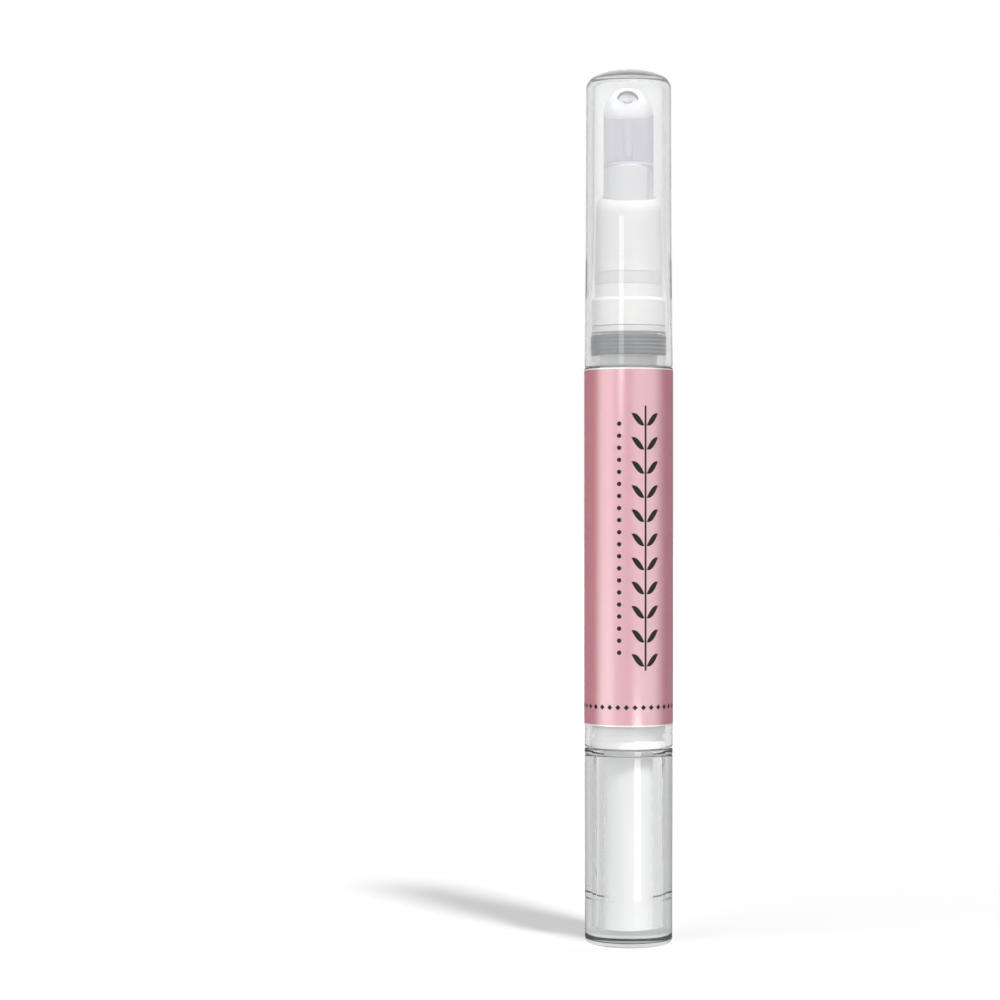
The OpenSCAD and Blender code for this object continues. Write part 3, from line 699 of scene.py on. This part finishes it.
class OILPEN_OT_cap(Piece, bpy.types.Operator):
    """Clear cap with a flared mouth, an inner step and a domed end"""

    bl_idname = "oilpen.cap"
    bl_label = "Cap"

    def build(self, s, scene):
        low, top, mouth = ends("cap_shell")
        step = foot("nose_base") + scene.oilpen_head.base_step + s.cap_step_gap
        wall = s.cap_top - s.cap_bore_top
        outside = domed(s.cap_top, top, s.cap_edge, s.cap_rise)
        inside = domed(s.cap_bore_top, top - s.cap_end, s.cap_edge - wall,
                       s.cap_rise + wall - s.cap_end)[::-1]
        outline = rounded([
            *kept(inside),
            (s.cap_bore, step + s.cap_step_height, 10 * s.lip_edge),
            (s.cap_mouth_bore, step, 2 * s.lip_edge),
            (s.cap_mouth_bore, low, s.soft_edge),
            (mouth, low, s.lip_edge / 2),
            (s.cap_waist, low + s.cap_flare, 40 * s.lip_edge),
            *kept(outside[:-1]),
            (0.0, top, 0.0),
        ])
        finish = scene.oilpen_finish
        material = clear_plastic("clear_cap", finish, depth=230.0, milk=finish.milk)
        fitted(skin("cap", turned(outline, 192)), "cap", "clear_cap", material, "cap_shell")


class OILPEN_OT_barrel(Piece, bpy.types.Operator):
    """Clear barrel with its neck, oil chamber and drive bore"""

    bl_idname = "oilpen.barrel"
    bl_label = "Barrel"

    def build(self, s, scene):
        low, top, wall = ends("barrel_tube")
        edge = s.soft_edge
        shoulder = foot("cap_shell") - 2 * PLAY
        seal_low, seal_high = foot("cap_seal") - PLAY / 2, head("cap_seal") + PLAY / 2
        chamber_top = shoulder - s.chamber_drop
        step = head("drive_nut") + s.drive_gap
        outline = rounded([
            (s.drive_bore, low, edge), (wall, low, s.lip_edge),
            (wall, shoulder, s.lip_edge / 2), (s.neck, shoulder, edge),
            (s.neck, seal_low, edge / 2), (s.groove, seal_low, edge / 2),
            (s.groove, seal_high, edge / 2), (s.neck, seal_high, edge / 2),
            (s.neck, top, edge), (s.neck_bore, top, edge),
            (s.neck_bore, chamber_top + s.chamber - s.neck_bore, edge),
            (s.chamber, chamber_top, edge), (s.chamber, step, edge / 2),
            (s.drive_bore, step, edge),
        ])
        finish = scene.oilpen_finish
        material = clear_plastic("clear_barrel", finish, depth=220.0, milk=finish.milk)
        fitted(skin("barrel", turned(outline, 192)), "barrel", "clear_barrel", material,
               "barrel_tube")


class OILPEN_OT_knob(Piece, bpy.types.Operator):
    """Clear knob, its base plug and the spacer ring above it"""

    bl_idname = "oilpen.knob"
    bl_label = "Knob end"

    def build(self, s, scene):
        material = clear_plastic("clear_knob", scene.oilpen_finish, depth=150.0, milk=0.015,
                                 wavy=False)
        fitted(skin("knob_and_base", self.knob(s)), "knob", "clear_knob", material,
               "twist_knob", "base_plug")
        low, top, wall = ends("spacer_ring")
        spacer = ring(low, top, s.knob_bore, wall, s.soft_edge, s.lip_edge, columns=192)
        fitted(skin("spacer", spacer), "knob", "clear_knob", material, "spacer_ring")

    def knob(self, s):
        """Knob and base plug as the weld leaves them, with a fine groove at the seam.
        Near the rim the bore moves out to the floors of two key slots."""
        low, edge, groove = foot("base_plug"), s.soft_edge, s.seam_groove
        seam, top, wall = ends("twist_knob")
        seam, slot_low = seam - s.seam_gap, top - s.key_depth
        outline = rounded([
            (0.0, low + s.gate_depth, 0.0), (s.gate, low + s.gate_depth, edge / 2),
            (s.gate + s.gate_depth, low, edge), (s.base_foot, low, s.base_edge),
            (s.knob_seam, seam - groove, groove / 2), (s.knob_seam - groove, seam, groove / 4),
            (s.knob_seam, seam + groove, groove / 2),
            (wall, top, s.lip_edge), (s.knob_bore, top, edge),
            (s.knob_bore, slot_low + edge, 0.0), (s.knob_bore, slot_low, 0.0),
            (s.knob_bore, low + s.base_floor, 2 * edge), (0.0, low + s.base_floor, 0.0),
        ])
        grid = turned(outline, 240)
        x, y, z = np.moveaxis(grid, -1, 0)
        near = np.hypot(x, y) < s.knob_bore + 2 * edge
        slot = near & (np.abs(y) < s.key_width / 2) & (z > slot_low + edge / 2)
        out = s.key_reach / np.maximum(np.abs(x), edge)
        grid[..., :2] *= np.where(slot, out, 1.0)[..., None]
        return grid


class OILPEN_OT_label(Piece, bpy.types.Operator):
    """Satin film wrapped round the barrel, lapped at the back, with a printed ornament"""

    bl_idname = "oilpen.label"
    bl_label = "Label"

    def build(self, s, scene):
        label = scene.oilpen_label
        low, top, wall = ends("label_wrap")
        grid = ring(low, top, wall - label.thickness, wall - label.lap_rise, label.edge,
                    label.edge, steps=3, columns=256)
        # The film climbs onto itself over a quarter of its lap.
        past_seam = (np.arctan2(grid[..., 1], grid[..., 0]) - BACK) % (2 * math.pi)
        lapped = np.clip(1 - past_seam / label.lap, 0, 1)
        rise = label.lap_rise * np.minimum(4 * lapped, 1)
        across = np.hypot(grid[..., 0], grid[..., 1])
        grid[..., :2] *= (1 + rise / across)[..., None]
        # The columns start at the back, because the UV map does.
        grid = np.roll(grid, -grid.shape[1] // 4, axis=1)
        material = satin_film("pink_label", scene.oilpen_finish, 2 * math.pi * wall, top - low)
        fitted(skin("label", grid, wrap=True), "barrel", "pink_label", material, "label_wrap")


class OILPEN_OT_seal(Piece, bpy.types.Operator):
    """Soft ribbed seal round the neck"""

    bl_idname = "oilpen.seal"
    bl_label = "Seals"

    def build(self, s, scene):
        h, ribs, points = scene.oilpen_head, 5, 60
        low, top, wall = ends("cap_seal")
        t = np.linspace(0, 1, points)
        crest = wall - h.seal_rib / 2 - h.seal_rib / 2 * np.cos(2 * math.pi * ribs * t)
        outside = np.stack([crest, low + (top - low) * t], 1)
        grid = turned(np.concatenate([[[h.seal_floor, low]], outside, [[h.seal_floor, top]]]))
        material = soft_rubber("grey_seal", scene.oilpen_finish.seal)
        fitted(skin("seal", grid), "barrel", "grey_seal", material, "cap_seal")
        repaint(material, "plug_ring", "piston_rings")


class OILPEN_OT_nose(Piece, bpy.types.Operator):
    """White nose: the base with the tip's hard core, the locking ring and the sloping cone"""

    bl_idname = "oilpen.nose"
    bl_label = "Nose"

    def build(self, s, scene):
        h, finish = scene.oilpen_head, scene.oilpen_finish
        hard = {"gloss": 0.42, "glow": 0.15, "depth": 0.6 * MM}
        white = moulded_plastic("white_plastic", finish.white, **hard)
        natural = moulded_plastic("natural_plastic", finish.natural, gloss=0.34, glow=0.5,
                                  depth=1.2 * MM)
        low, top, wall = ends("lock_ring")
        lock = ring(low - h.fit, top + h.fit, h.cone_bore, wall, h.edge / 2, h.edge / 4)
        for name, grid, slot, material, node in (
                ("nose_foot", self.base(h), "white_plastic", white, "nose_base"),
                ("nose_ring", lock, "natural_plastic", natural, "lock_ring"),
                ("nose_sleeve", self.cone(h), "white_plastic", white, "nose_cone"),
                ("plug", self.plug(h), "natural_plastic", natural, "feed_plug")):
            fitted(skin(name, grid), "barrel", slot, material, node)
        repaint(drawn_steel("steel_tube", finish), "feed_tube")
        repaint(natural, "piston")
        repaint(white, "ratchet_ring", "drive_nut", "click_pawls", "screw_rod")
        # A lighter copy of the white plastic: painted light for the sleeve seen through the knob.
        repaint(moulded_plastic("sleeve_white_painted_lighter", finish.sleeve, **hard), "drive_sleeve")

    def base(self, h):
        """Foot, sloping step, collar, spigot and round-topped core, round the feed bore."""
        low, top, wall = ends("nose_base")
        edge, step = h.edge, low + h.base_step
        collar = step + wall - h.collar
        spigot = collar + h.collar_height
        spigot_top = foot("pusher_tip") - PLAY
        socket = low + h.boss_height + PLAY
        return turned(rounded([
            (h.boss_bore, low, edge), (wall, low, edge), (wall, step, edge),
            (h.collar, collar, edge), (h.collar, spigot, edge / 4), (h.spigot, spigot, edge),
            (h.spigot, spigot_top, edge), (h.core, spigot_top, edge),
            (h.core, top, h.core_edge), (h.feed_bore, top, 0.5 * edge),
            (h.feed_bore, socket, 0.5 * edge), (h.boss_bore, socket, 0.5 * edge),
        ], 8))

    def cone(self, h):
        """A sleeve whose rim tilts: near the rim each point rises by y times the slope."""
        low, top, wall = ends("nose_cone")
        step, _, tip_wall = ends("pusher_tip")
        edge, side, tip_bore = h.edge, h.cone_side, tip_wall + PLAY
        rim_wall, rise = tip_bore + h.cone_rim, math.tan(h.cone_slope)
        rim, reach = top - rim_wall * rise, side - rim_wall
        ball = (reach**2 + h.shoulder**2) / (2 * reach)
        t = np.linspace(0, math.asin(h.shoulder / ball), 16)
        curve = np.stack([side - ball + ball * np.cos(t), rim - h.shoulder + ball * np.sin(t)], 1)
        grid = turned(rounded([
            (h.cone_bore, low, edge / 2), (wall, low, edge / 4), *kept(curve[:-1]),
            (rim_wall, rim, edge), (tip_bore, rim, edge / 2),
            (tip_bore, step, edge / 3), (h.cone_bore, step, edge / 3),
        ]))
        share_up = np.clip((grid[..., 2] - step) / (rim - h.shoulder - step), 0, 1)
        grid[..., 2] += share_up * grid[..., 1] * rise
        return grid

    def plug(self, h):
        """Plug with a funnel, a ring groove, a flange and a boss, round the feed bore."""
        low, top, wall = ends("feed_plug")
        edge, flange = h.edge, top - h.boss_height - h.plug_flange
        ring_low, ring_high = foot("plug_ring") - 2 * PLAY, head("plug_ring") + 2 * PLAY
        return turned(rounded([
            (h.funnel, low, edge / 2), (h.plug, low, 2 * edge),
            (h.plug, ring_low, edge / 2), (h.plug_ring_floor, ring_low, edge / 2),
            (h.plug_ring_floor, ring_high, edge / 2), (h.plug, ring_high, edge / 2),
            (h.plug, flange, edge / 3), (wall, flange, edge),
            (wall, flange + h.plug_flange, edge), (h.boss, flange + h.plug_flange, edge / 2),
            (h.boss, top, edge), (h.feed_bore, top, edge / 2),
            (h.feed_bore, low + h.funnel_height, edge / 2),
        ]))


class OILPEN_OT_tip(Piece, bpy.types.Operator):
    """Silicone pusher tip with a scooped, slanted face and an oval outlet"""

    bl_idname = "oilpen.tip"
    bl_label = "Pusher tip"

    def build(self, s, scene):
        t, h, columns = scene.oilpen_tip, scene.oilpen_head, 192
        low, top, wall = ends("pusher_tip")
        scoop_y = -wall - t.scoop * math.sin(t.lip_slope)
        scoop_z = top - t.face + t.scoop * math.cos(t.lip_slope)
        arch = wall + t.arch_play

        def depth(p):
            """How far a point lies outside the finger, the arch and the scoop, edges rounded."""
            finger = np.hypot(p[..., 0], p[..., 1]) - wall
            above = np.maximum(p[..., 2] - (top - arch), 0)
            arched = np.hypot(p[..., 0], above) - arch
            scooped = t.scoop - np.hypot(p[..., 1] - scoop_y, p[..., 2] - scoop_z)
            return blended_max(blended_max(finger, scooped, t.edge), arched, t.edge)

        def lifted(plan):
            """Places in plan, lifted to the scooped face or to the arch, whichever is lower."""
            scooped = scoop_z - np.sqrt(t.scoop**2 - (plan[..., 1] - scoop_y) ** 2)
            arched = top - arch + np.sqrt(arch**2 - plan[..., 0] ** 2)
            return np.concatenate([plan, np.minimum(scooped, arched)[..., None]], -1)

        a = np.arange(columns) * 2 * math.pi / columns
        rim = wall * np.stack([np.cos(a), np.sin(a)], 1)
        out_z = top - t.outlet_drop
        out_y = scoop_y + math.sqrt(t.scoop**2 - (scoop_z - out_z) ** 2)
        tilt = math.atan2(out_y - scoop_y, scoop_z - out_z)
        oval = np.stack([t.outlet_width / 2 * np.cos(a),
                         t.outlet_height / 2 * math.cos(tilt) * np.sin(a)], 1)
        outlet = np.array([0.0, out_y])

        socket = h.core + t.socket_gap
        socket_top = head("nose_base") + t.socket_gap
        inner = turned(rounded([
            (t.channel, socket_top, 0.0), (socket, socket_top, h.core_edge),
            (socket, low, h.edge / 3), (wall, low, h.edge / 2), (wall, low + h.edge, 0.0),
        ], 8), columns)

        # The rows crowd towards the face's edge, and then towards the outlet.
        side_rows, side_crowding, face_rows, face_crowding, outlet_margin = 30, 1.7, 46, 1.25, 1.05
        rise = 1 - np.linspace(1, 0, side_rows)[1:, None] ** side_crowding
        edge_z = lifted(rim)[None, :, 2]
        side_z = low + h.edge + rise * (edge_z - low - h.edge)
        side = np.concatenate([np.broadcast_to(rim, (len(side_z), columns, 2)),
                               side_z[..., None]], -1)

        inward = 1 - np.linspace(1, 0, face_rows)[1:, None, None] ** face_crowding
        plan = (1 - inward) * rim[None] + inward * (outlet + outlet_margin * oval)[None]
        outer = settled(np.concatenate([side, lifted(plan)]), depth)

        # The outlet's wall: how wide it is at each depth, as shares of the oval and the depth.
        widths = np.array([1.03, 1.015, 1.0, 0.985, 0.97, 0.95, 0.9, 0.8, 0.6])[:, None, None]
        depths = np.array([0.01, 0.05, 0.14, 0.4, 0.7, 0.88, 0.97, 1.0, 1.0])[:, None, None]
        out_of_face = np.array([0.0, -math.sin(tilt), math.cos(tilt)])
        pocket = lifted(outlet + widths * oval[None]) - depths * t.outlet_depth * out_of_face
        up_face = np.array([0.0, math.cos(tilt), math.sin(tilt)])
        mouth = (np.array([0.0, out_y, out_z]) - t.outlet_depth * out_of_face
                 + t.channel * (np.cos(a)[:, None] * np.array([1.0, 0.0, 0.0])
                                + np.sin(a)[:, None] * up_face))
        down = np.linspace(0, 1, 10)[:-1, None, None]
        channel = (1 - down) * mouth[None] + down * inner[0][None]

        tip = skin("pusher", np.concatenate([inner, outer, pocket, channel]))
        material = silicone("silicone", scene.oilpen_finish, (0.0, out_y, out_z), out_of_face,
                            t.outlet_width / 2, t.outlet_depth, (scoop_y, scoop_z, t.scoop))
        fitted(tip, "barrel", "silicone", material, "pusher_tip")


class OILPEN_OT_oil(Piece, bpy.types.Operator):
    """Oil in the chamber, which gets shorter as the piston rises"""

    bl_idname = "oilpen.oil"
    bl_label = "Oil"

    def build(self, s, scene):
        low, top, wall = ends("oil_fill")
        creep = 0.4 * MM
        outline = rounded([
            (0.0, low, 0.0), (wall, low, creep), (wall, top, creep / 2),
            (wall - 2 * creep, top - creep / 2, creep), (0.0, top - creep / 2, 0.0)])
        oil = skin("oil", turned(outline, 128))
        fitted(oil, "barrel", "oil", nail_oil("oil", scene.oilpen_finish), "oil_fill")
        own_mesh(oil)


class OILPEN_OT_bush(Piece, bpy.types.Operator):
    """White bearing bush in the foot of the barrel"""

    bl_idname = "oilpen.bush"
    bl_label = "Bearing bush"

    def build(self, s, scene):
        low, top, wall = ends("bearing_bush")
        bore, edge = s.knob_bore + PLAY, 0.1 * MM
        groove, groove_low, groove_high = wall - 0.4 * MM, low + 1.1 * MM, low + 2.0 * MM
        grid = turned(rounded([
            (bore, low, edge), (wall, low, edge), (wall, groove_low, edge),
            (groove, groove_low, edge), (groove, groove_high, edge), (wall, groove_high, edge),
            (wall, top, edge), (bore, top, edge)]))
        fitted(skin("bush", grid), "barrel", "white_plastic",
               bpy.data.materials["white_plastic"], "bearing_bush")


class OILPEN_OT_stage(bpy.types.Operator):
    """Pale floor, soft studio light and the camera"""

    bl_idname = "oilpen.stage"
    bl_label = "Stage"
    bl_options = {"REGISTER", "UNDO"}

    def execute(self, context):
        scene = context.scene
        scene.view_settings.view_transform = "Standard"
        scene.cycles.max_bounces = 28
        scene.cycles.transmission_bounces = 28
        scene.cycles.transparent_max_bounces = 32
        self.camera(scene)
        self.floor(scene)
        self.world(scene)
        self.lamps(scene)
        return {"FINISHED"}

    def camera(self, scene):
        """A level camera at half the pen's height, a little to its left."""
        camera = bpy.data.cameras.new("camera")
        camera.sensor_width = 36
        camera.lens = 97.3
        camera.shift_y = 0.011
        camera.clip_start, camera.clip_end = 0.01, 50
        holder = bpy.data.objects.new("camera", camera)
        holder.location = (-19.5 * MM, -410 * MM, 65.46 * MM)
        holder.rotation_euler = (math.pi / 2, 0, 0)
        scene.collection.objects.link(holder)
        scene.camera = holder

    def floor(self, scene):
        """A wide plane whose own glow, fainter near the pen, makes it white to the camera where
        no shadow lies. Gloss sees it as dark as the room. Clear plastic sees it mostly even, a
        little darker behind the pen, and right under the pen it glows for the base."""
        half = 6.0
        mesh = bpy.data.meshes.new("floor")
        mesh.from_pydata([(-half, -half, 0), (half, -half, 0), (half, half, 0), (-half, half, 0)],
                         [], [(0, 1, 2, 3)])
        floor = bpy.data.objects.new("floor", mesh)
        scene.collection.objects.link(floor)
        tree, place = new_tree("floor")
        x, y, _ = tree.axes(place)
        cloud = tree.noise(place, 4.0)
        matt = tree.add("ShaderNodeBsdfDiffuse", None,
                        {"Color": tree.mixed(cloud, (0.9, 0.9, 0.9), (0.89, 0.89, 0.89))})
        near, far, near_glow, far_glow = 0.1, 0.6, 0.05, 0.3
        foot_glow, shade_behind, evenness = 0.25, 0.3, 0.85
        white = tree.add("ShaderNodeEmission", None, {"Strength": 1.0})
        dark = tree.add("ShaderNodeEmission", None, {"Strength": 0.0})
        path = tree.add("ShaderNodeLightPath")
        camera, glossy, through = [Value(tree, path.outputs[f"Is {kind} Ray"])
                                   for kind in ("Camera", "Glossy", "Transmission")]
        away = (x ** 2.0 + y ** 2.0) ** 0.5
        glow = camera.most(glossy).most(through) * away.ramp(near, far, near_glow, far_glow)

        def between(factor, first, second):
            return tree.add("ShaderNodeMixShader", None,
                            {0: factor, 1: first.outputs[0], 2: second.outputs[0]})

        lit = tree.add("ShaderNodeAddShader", None,
                       {0: matt.outputs[0], 1: between(glow, dark, white).outputs[0]})
        lit = between(glossy * (1 - through) * (1 - self.room(x, y)), lit, dark)
        lit = between(away.ramp(0.006, 0.008, foot_glow, 0.0), lit, white)
        behind = away.ramp(0.2, 0.4, shade_behind, 0.0) * abs(self.turn(x, y)).ramp(140, 165)
        flat = between(self.beyond(x, y) - behind, dark, white)
        mesh.materials.append(tree.surface(between(through * evenness, lit, flat)))

    def turn(self, x, y):
        """Angle in degrees to the right of the camera's side."""
        return x.math("ARCTAN2", y * -1) * (180 / math.pi)

    def beyond(self, x, y):
        """Brightness that clear plastic shows, by that angle: white with pale grey sides."""
        turn, left_grey, right_grey = self.turn(x, y), 0.32, 0.12
        sides = abs(turn).ramp(88, 104) * abs(turn).ramp(125, 155, 1.0, 0.0)
        return 1 - sides * turn.ramp(-10, 10, left_grey, right_grey)

    def room(self, x, y):
        """Brightness that gloss sees, by the angle to the right of the camera's side: a soft box
        on each side of the camera, grey between them, and dark past them up to the back."""
        turn, middle_dim, darkest = self.turn(x, y), 0.35, 0.16
        boxes = turn.ramp(-104, -72) * turn.ramp(56, 110, 1.0, 0.0)
        middle = turn.ramp(-48, -36) * turn.ramp(2, 16, 1.0, 0.0)
        back = abs(turn).ramp(154, 174)
        return (boxes * (1 - middle * middle_dim) + back) * (1 - darkest) + darkest

    def world(self, scene):
        """White to the camera, plain grey as light, and the room to gloss. Clear plastic sees it
        white with pale grey sides."""
        world = bpy.data.worlds.new("studio")
        scene.world = world
        tree = Tree(world, "World")
        x, y, z = tree.axes(tree.place("Generated"))
        above, overhead, plain = z.ramp(0.3, 0.7), 1.5, 0.45
        path = tree.add("ShaderNodeLightPath")
        seen = {kind: Value(tree, path.outputs[f"Is {kind} Ray"])
                for kind in ("Camera", "Diffuse", "Transmission")}
        mirrored = self.room(x, y) * (1 - above) + above * overhead
        strength = mirrored * (1 - seen["Transmission"]) + self.beyond(x, y) * seen["Transmission"]
        strength = strength * (1 - seen["Diffuse"]) + seen["Diffuse"] * plain
        strength = strength * (1 - seen["Camera"]) + seen["Camera"]
        tree.surface(tree.add("ShaderNodeBackground", None,
                              {"Color": (1.0, 1.0, 1.0, 1.0), "Strength": strength}))

    def lamps(self, scene):
        """A soft key from the right front, soft boxes on the left and behind, and the strips of
        light that gloss shows. A box stands at an angle in degrees to the right of the camera's
        side, turned to the pen, and its power is pi times its area times its brightness."""
        sun = bpy.data.lights.new("key", "SUN")
        sun.energy, sun.angle = 1.65, math.radians(7)
        self.aim(scene, sun, (0.506, -0.862, 1.73)).visible_glossy = False
        for name, side, distance, width, height, z, brightness, unseen in (
                ("fill", -50, 0.6, 0.5, 0.5, 0.15, 2.7, "glossy"),
                ("back_fill", 148, 0.6, 0.5, 0.5, 0.15, 1.6, "glossy"),
                ("cap_strip", -21.4, 0.3, 0.066, 0.035, 0.126, 3.0, "diffuse"),
                ("knob_strip", 19, 0.05, 0.0135, 0.0268, 0.0139, 6.0, "diffuse")):
            box = bpy.data.lights.new(name, "AREA")
            box.shape, box.size, box.size_y = "RECTANGLE", width, height
            box.energy = math.pi * width * height * brightness
            turn = math.radians(side)
            at = (distance * math.sin(turn), -distance * math.cos(turn), z)
            holder = self.aim(scene, box, at, z)
            for kind in ("camera", "transmission", unseen):
                setattr(holder, f"visible_{kind}", False)

    def aim(self, scene, light, at, height=0.0):
        """Puts a lamp at a point and turns it to the axis at a height."""
        holder = bpy.data.objects.new(light.name, light)
        way = Vector((0, 0, height)) - Vector(at)
        holder.location, holder.rotation_euler = at, way.to_track_quat("-Z", "Y").to_euler()
        scene.collection.objects.link(holder)
        return holder


BUILD_ORDER = ("cap", "barrel", "knob", "label", "seal", "nose", "tip", "oil", "bush", "stage")


class OILPEN_PT_panel(bpy.types.Panel):
    """Sidebar panel with the pen's pieces"""

    bl_label = "Nail Oil Pen"
    bl_idname = "OILPEN_PT_panel"
    bl_space_type = "VIEW_3D"
    bl_region_type = "UI"
    bl_category = "Oil Pen"

    def draw(self, context):
        for name in BUILD_ORDER:
            self.layout.operator(f"oilpen.{name}")


GROUPS = {
    "oilpen_shells": OILPEN_PG_shells,
    "oilpen_label": OILPEN_PG_label,
    "oilpen_head": OILPEN_PG_head,
    "oilpen_tip": OILPEN_PG_tip,
    "oilpen_finish": OILPEN_PG_finish,
}
CLASSES = (
    *GROUPS.values(), OILPEN_OT_cap, OILPEN_OT_barrel, OILPEN_OT_knob, OILPEN_OT_label,
    OILPEN_OT_seal, OILPEN_OT_nose, OILPEN_OT_tip, OILPEN_OT_oil, OILPEN_OT_bush,
    OILPEN_OT_stage, OILPEN_PT_panel,
)


def register():
    """Registers the classes and hangs the sizes on the scene."""
    for cls in CLASSES:
        bpy.utils.register_class(cls)
    for name, group in GROUPS.items():
        setattr(bpy.types.Scene, name, bpy.props.PointerProperty(type=group))


def unregister():
    """Takes them off again."""
    for name in GROUPS:
        delattr(bpy.types.Scene, name)
    for cls in reversed(CLASSES):
        bpy.utils.unregister_class(cls)


def main():
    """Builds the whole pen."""
    register()
    for name in BUILD_ORDER:
        getattr(bpy.ops.oilpen, name)()


if __name__ == "__main__":
    main()
